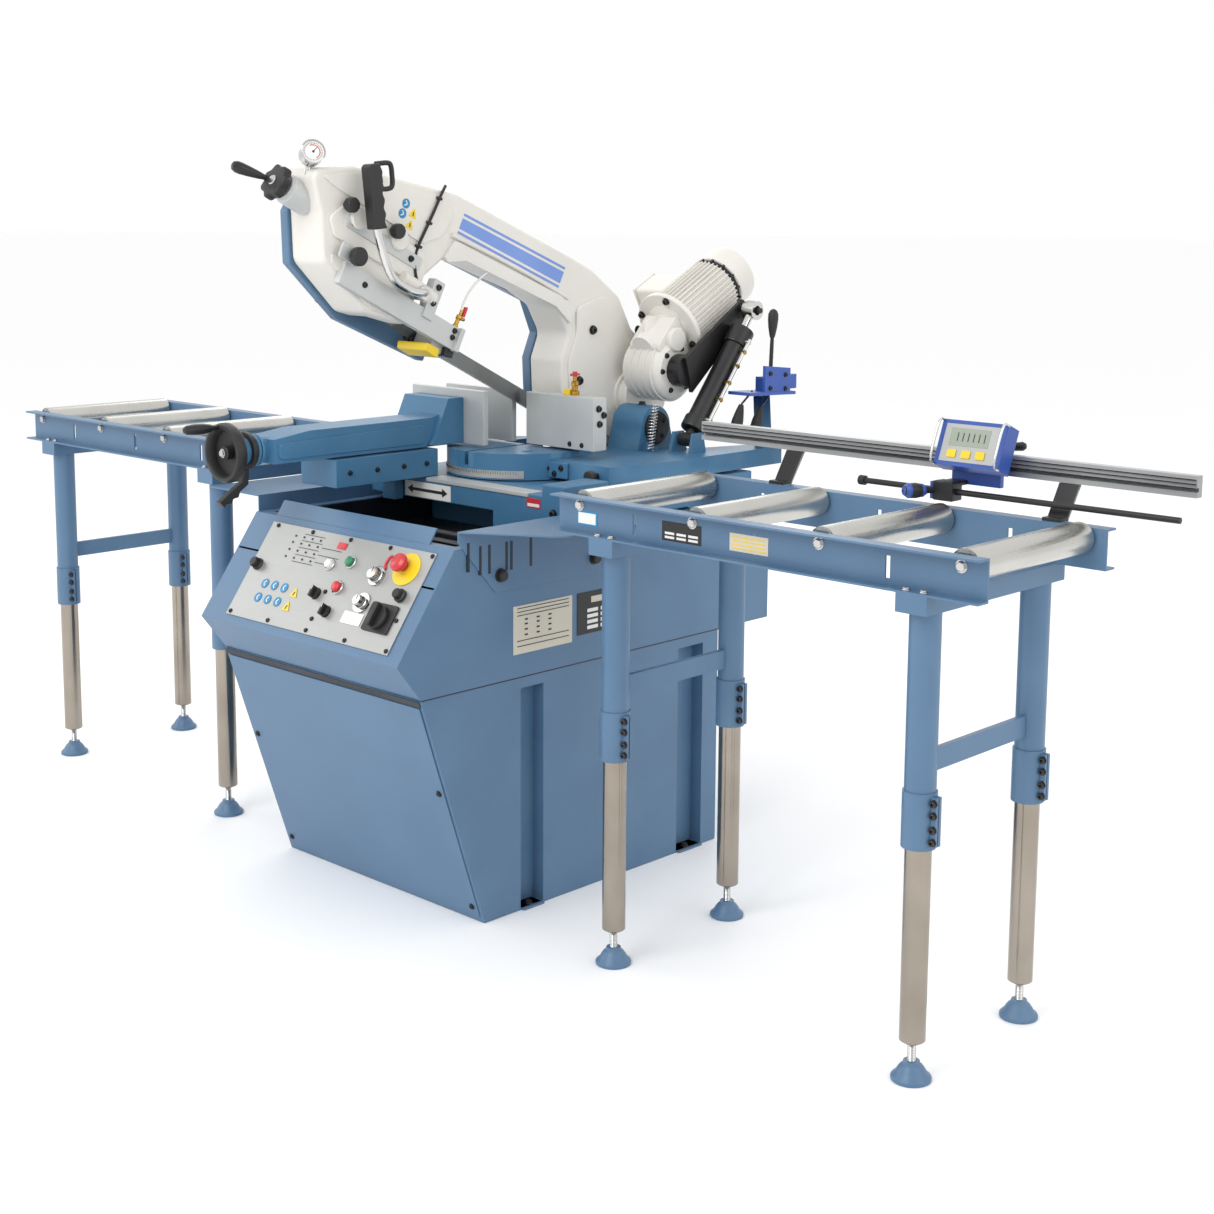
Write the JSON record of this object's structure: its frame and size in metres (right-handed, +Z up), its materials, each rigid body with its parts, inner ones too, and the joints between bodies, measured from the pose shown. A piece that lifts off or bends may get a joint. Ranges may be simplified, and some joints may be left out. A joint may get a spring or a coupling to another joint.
{
  "type": "horizontal band saw",
  "caption": "Horizontal band saw on a cabinet with a tilting, swivelling saw arm, sliding vise, sloped control console, roller tables on telescopic legs and a length stop.",
  "frame": {"origin": "on the floor, in the middle of the lower cabinet's base", "axes": "+X along the material feed towards the length stop, +Y away from the operator, +Z up"},
  "size_m": [3.226, 1.4851, 1.6846],
  "materials": {
    "steel_blue_paint": "semi-gloss powder coat, steel blue",
    "cast_blue_paint": "enamel over cast iron, slightly greener blue",
    "deep_blue_paint": "satin saturated blue",
    "off_white_paint": "semi-gloss off-white over cast iron",
    "ground_steel": "ground steel",
    "brushed_panel": "brushed stainless control plate",
    "aluminium_profile": "satin anodised aluminium",
    "black_plastic": "moulded black plastic",
    "black_steel": "black enamel on steel",
    "chrome_bezel": "polished chrome",
    "chrome_rod": "hard chrome",
    "stainless_tube": "polished stainless tube",
    "zinc_roller": "zinc plated steel tube",
    "red_plastic": "gloss red plastic",
    "green_plastic": "gloss green plastic",
    "yellow_plastic": "gloss yellow plastic and signs",
    "white_label": "printed white plates",
    "brass_fittings": "satin brass",
    "black_rubber": "black rubber hose and cable"
  },
  "bodies": {
    "base": {"lower_cabinet": "steel_blue_paint", "upper_casing": "steel_blue_paint", "control_panel": "brushed_panel", "side_plate_right": "steel_blue_paint", "side_plate_left": "steel_blue_paint", "machine_bed": "cast_blue_paint", "fixed_jaw_right": "ground_steel", "right_table_frame": "steel_blue_paint", "left_table_frame": "steel_blue_paint", "stop_rail": "aluminium_profile"},
    "turntable": {"turntable": "cast_blue_paint", "valve_block": "deep_blue_paint"},
    "left_jaw": {"fixed_jaw_left": "ground_steel"},
    "arm": {"saw_arm": "off_white_paint", "gearbox": "off_white_paint", "motor": "off_white_paint", "cylinder_bracket": "black_steel", "handle_grip": "black_plastic", "saw_blade": "ground_steel"},
    "cylinder_barrel": {"lift_cylinder": "black_steel"},
    "cylinder_piston": {"cylinder_rod": "chrome_rod"},
    "cover": {"blade_cover": "steel_blue_paint"},
    "wheel_front": {"front_wheel": "ground_steel"},
    "wheel_rear": {"rear_wheel": "ground_steel"},
    "blade_guide": {"guide_bar": "ground_steel"},
    "tension_wheel": {"tension_handwheel": "black_plastic"},
    "trigger_lever": {"trigger": "black_plastic"},
    "feed_valve_lever": {"valve_lever": "black_plastic"},
    "vise_carriage": {"vise_slide": "cast_blue_paint"},
    "vise_ram": {"vise_body": "cast_blue_paint", "moving_jaw": "ground_steel"},
    "vise_wheel": {"vise_handwheel": "black_plastic"},
    "vise_lever": {"vise_lock_lever": "black_steel"},
    "estop": {"estop_button": "red_plastic"},
    "start": {"start_button": "green_plastic"},
    "stop": {"stop_button": "red_plastic"},
    "pump_switch": {"pump_selector": "black_plastic"},
    "mode_switch": {"mode_selector": "black_plastic"},
    "feed_dial": {"feed_knob": "black_plastic"},
    "speed_dial": {"speed_knob": "chrome_bezel"},
    "pressure_dial": {"pressure_knob": "chrome_bezel"},
    "main_isolator": {"main_switch": "black_plastic"},
    "right_roller_body_1": {"right_roller_1": "zinc_roller"},
    "right_roller_body_2": {"right_roller_2": "zinc_roller"},
    "right_roller_body_3": {"right_roller_3": "zinc_roller"},
    "right_roller_body_4": {"right_roller_4": "zinc_roller"},
    "left_roller_body_1": {"left_roller_1": "zinc_roller"},
    "left_roller_body_2": {"left_roller_2": "zinc_roller"},
    "left_roller_body_3": {"left_roller_3": "zinc_roller"},
    "left_roller_body_4": {"left_roller_4": "zinc_roller"},
    "right_leg_body_1_near": {"right_leg_1_near": "stainless_tube"},
    "right_leg_body_1_far": {"right_leg_1_far": "stainless_tube"},
    "right_leg_body_2_near": {"right_leg_2_near": "stainless_tube"},
    "right_leg_body_2_far": {"right_leg_2_far": "stainless_tube"},
    "left_leg_body_1_near": {"left_leg_1_near": "stainless_tube"},
    "left_leg_body_1_far": {"left_leg_1_far": "stainless_tube"},
    "left_leg_body_2_near": {"left_leg_2_near": "stainless_tube"},
    "left_leg_body_2_far": {"left_leg_2_far": "stainless_tube"},
    "stop_carriage": {"readout_carriage": "deep_blue_paint"},
    "stop_rod_body": {"stop_rod": "black_steel"}
  },
  "joints": [
    {"name": "swivel", "type": "hinge", "parent": "base", "child": "turntable", "pos_m": [-0.053, 0.0985, 0.94], "axis": [0, 0, 1], "range_deg": [0, 45]},
    {"name": "left_jaw_slide", "type": "slide", "parent": "base", "child": "left_jaw", "axis": [-1, 0, 0], "range_m": [0, 0.16]},
    {"name": "arm_tilt", "type": "hinge", "parent": "turntable", "child": "arm", "pos_m": [0, 0.369, 1.009], "axis": [1, 0, 0], "range_deg": [0, 24.5]},
    {"name": "cylinder_swing", "type": "hinge", "parent": "turntable", "child": "cylinder_barrel", "pos_m": [0.24, 0.385, 0.985], "axis": [1, 0, 0], "range_deg": [0, 24]},
    {"name": "rod_stroke", "type": "slide", "parent": "cylinder_barrel", "child": "cylinder_piston", "axis": [0, 0.6184, 0.7859], "range_m": [0, 0.012]},
    {"name": "cover_open", "type": "hinge", "parent": "arm", "child": "cover", "pos_m": [-0.0955, 0.23126, 1.40508], "axis": [0, 0.8949, -0.4462], "range_deg": [0, 85]},
    {"name": "front_wheel_spin", "type": "hinge", "parent": "arm", "child": "wheel_front", "pos_m": [-0.05, -0.40254, 1.4853], "axis": [1, 0, 0], "continuous": true},
    {"name": "rear_wheel_spin", "type": "hinge", "parent": "arm", "child": "wheel_rear", "pos_m": [-0.05, 0.41722, 1.07658], "axis": [1, 0, 0], "continuous": true},
    {"name": "guide_travel", "type": "slide", "parent": "arm", "child": "blade_guide", "axis": [0, -0.8949, 0.4462], "range_m": [-0.17, 0.02]},
    {"name": "blade_tension", "type": "hinge", "parent": "arm", "child": "tension_wheel", "pos_m": [-0.045, -0.59853, 1.58302], "axis": [0, -0.8949, 0.4462], "continuous": true},
    {"name": "trigger_pull", "type": "hinge", "parent": "arm", "child": "trigger_lever", "pos_m": [0.068, -0.43511, 1.61562], "axis": [1, 0, 0], "range_deg": [-7, 0], "stiffness_Nm_per_rad": 0.5},
    {"name": "valve_swing", "type": "hinge", "parent": "turntable", "child": "feed_valve_lever", "pos_m": [0.304, 0.622, 1.1315], "axis": [1, 0, 0], "range_deg": [-15, 15]},
    {"name": "vise_cross_travel", "type": "slide", "parent": "base", "child": "vise_carriage", "axis": [-1, 0, 0], "range_m": [0, 0.07]},
    {"name": "vise_clamp", "type": "slide", "parent": "vise_carriage", "child": "vise_ram", "axis": [0, -1, 0], "range_m": [-0.085, 0.2]},
    {"name": "vise_screw", "type": "hinge", "parent": "vise_ram", "child": "vise_wheel", "pos_m": [-0.196, -0.652, 1.005], "axis": [0, 1, 0], "range_deg": [-7300, 3100]},
    {"name": "vise_quick_lock", "type": "hinge", "parent": "vise_ram", "child": "vise_lever", "pos_m": [-0.196, -0.6, 1.005], "axis": [0, 1, 0], "range_deg": [0, 40]},
    {"name": "emergency_stop", "type": "slide", "parent": "base", "child": "estop", "axis": [0, 0.8155, -0.5788], "range_m": [0, 0.005], "stiffness_N_per_m": 400},
    {"name": "start_press", "type": "slide", "parent": "base", "child": "start", "axis": [0, 0.8155, -0.5788], "range_m": [0, 0.003], "stiffness_N_per_m": 300},
    {"name": "stop_press", "type": "slide", "parent": "base", "child": "stop", "axis": [0, 0.8155, -0.5788], "range_m": [0, 0.003], "stiffness_N_per_m": 300},
    {"name": "pump_select", "type": "hinge", "parent": "base", "child": "pump_switch", "pos_m": [0.001, -0.56385, 0.70706], "axis": [0, -0.8155, 0.5788], "range_deg": [0, 60]},
    {"name": "mode_select", "type": "hinge", "parent": "base", "child": "mode_switch", "pos_m": [0.06, -0.58353, 0.67934], "axis": [0, -0.8155, 0.5788], "range_deg": [0, 60]},
    {"name": "feed_turn", "type": "hinge", "parent": "base", "child": "feed_dial", "pos_m": [-0.238, -0.54302, 0.73642], "axis": [0, -0.8155, 0.5788], "range_deg": [-135, 135]},
    {"name": "speed_turn", "type": "hinge", "parent": "base", "child": "speed_dial", "pos_m": [0.162, -0.52392, 0.76333], "axis": [0, -0.8155, 0.5788], "range_deg": [-135, 135]},
    {"name": "pressure_turn", "type": "hinge", "parent": "base", "child": "pressure_dial", "pos_m": [0.157, -0.56212, 0.70951], "axis": [0, -0.8155, 0.5788], "range_deg": [-135, 135]},
    {"name": "main_turn", "type": "hinge", "parent": "base", "child": "main_isolator", "pos_m": [0.232, -0.57543, 0.69075], "axis": [0, -0.8155, 0.5788], "range_deg": [0, 90]},
    {"name": "right_roller_spin_1", "type": "hinge", "parent": "base", "child": "right_roller_body_1", "pos_m": [0.607, -0.16, 0.95], "axis": [0, 1, 0], "continuous": true},
    {"name": "right_roller_spin_2", "type": "hinge", "parent": "base", "child": "right_roller_body_2", "pos_m": [0.907, -0.16, 0.95], "axis": [0, 1, 0], "continuous": true},
    {"name": "right_roller_spin_3", "type": "hinge", "parent": "base", "child": "right_roller_body_3", "pos_m": [1.207, -0.16, 0.95], "axis": [0, 1, 0], "continuous": true},
    {"name": "right_roller_spin_4", "type": "hinge", "parent": "base", "child": "right_roller_body_4", "pos_m": [1.507, -0.16, 0.95], "axis": [0, 1, 0], "continuous": true},
    {"name": "left_roller_spin_1", "type": "hinge", "parent": "base", "child": "left_roller_body_1", "pos_m": [-1.487, -0.16, 0.95], "axis": [0, 1, 0], "continuous": true},
    {"name": "left_roller_spin_2", "type": "hinge", "parent": "base", "child": "left_roller_body_2", "pos_m": [-1.187, -0.16, 0.95], "axis": [0, 1, 0], "continuous": true},
    {"name": "left_roller_spin_3", "type": "hinge", "parent": "base", "child": "left_roller_body_3", "pos_m": [-0.887, -0.16, 0.95], "axis": [0, 1, 0], "continuous": true},
    {"name": "left_roller_spin_4", "type": "hinge", "parent": "base", "child": "left_roller_body_4", "pos_m": [-0.587, -0.16, 0.95], "axis": [0, 1, 0], "continuous": true},
    {"name": "right_leg_1_near_height", "type": "slide", "parent": "base", "child": "right_leg_body_1_near", "axis": [0, 0, 1], "range_m": [-0.05, 0.08]},
    {"name": "right_leg_1_far_height", "type": "slide", "parent": "base", "child": "right_leg_body_1_far", "axis": [0, 0, 1], "range_m": [-0.05, 0.08]},
    {"name": "right_leg_2_near_height", "type": "slide", "parent": "base", "child": "right_leg_body_2_near", "axis": [0, 0, 1], "range_m": [-0.05, 0.08]},
    {"name": "right_leg_2_far_height", "type": "slide", "parent": "base", "child": "right_leg_body_2_far", "axis": [0, 0, 1], "range_m": [-0.05, 0.08]},
    {"name": "left_leg_1_near_height", "type": "slide", "parent": "base", "child": "left_leg_body_1_near", "axis": [0, 0, 1], "range_m": [-0.05, 0.08]},
    {"name": "left_leg_1_far_height", "type": "slide", "parent": "base", "child": "left_leg_body_1_far", "axis": [0, 0, 1], "range_m": [-0.05, 0.08]},
    {"name": "left_leg_2_near_height", "type": "slide", "parent": "base", "child": "left_leg_body_2_near", "axis": [0, 0, 1], "range_m": [-0.05, 0.08]},
    {"name": "left_leg_2_far_height", "type": "slide", "parent": "base", "child": "left_leg_body_2_far", "axis": [0, 0, 1], "range_m": [-0.05, 0.08]},
    {"name": "carriage_travel", "type": "slide", "parent": "base", "child": "stop_carriage", "axis": [1, 0, 0], "range_m": [-0.37, 0.115]},
    {"name": "stop_rod_travel", "type": "slide", "parent": "stop_carriage", "child": "stop_rod_body", "axis": [1, 0, 0], "range_m": [-0.1, 0.16]}
  ],
  "couplings": [
    {"joint": "cylinder_swing", "follows": "arm_tilt", "ratio": 0.9641},
    {"joint": "rod_stroke", "follows": "arm_tilt", "m_per_rad": 0.02502},
    {"joint": "left_jaw_slide", "follows": "swivel", "m_per_rad": 0.191},
    {"joint": "rear_wheel_spin", "follows": "front_wheel_spin", "ratio": 1},
    {"joint": "vise_screw", "follows": "vise_clamp", "rad_per_m": -628.32}
  ]
}
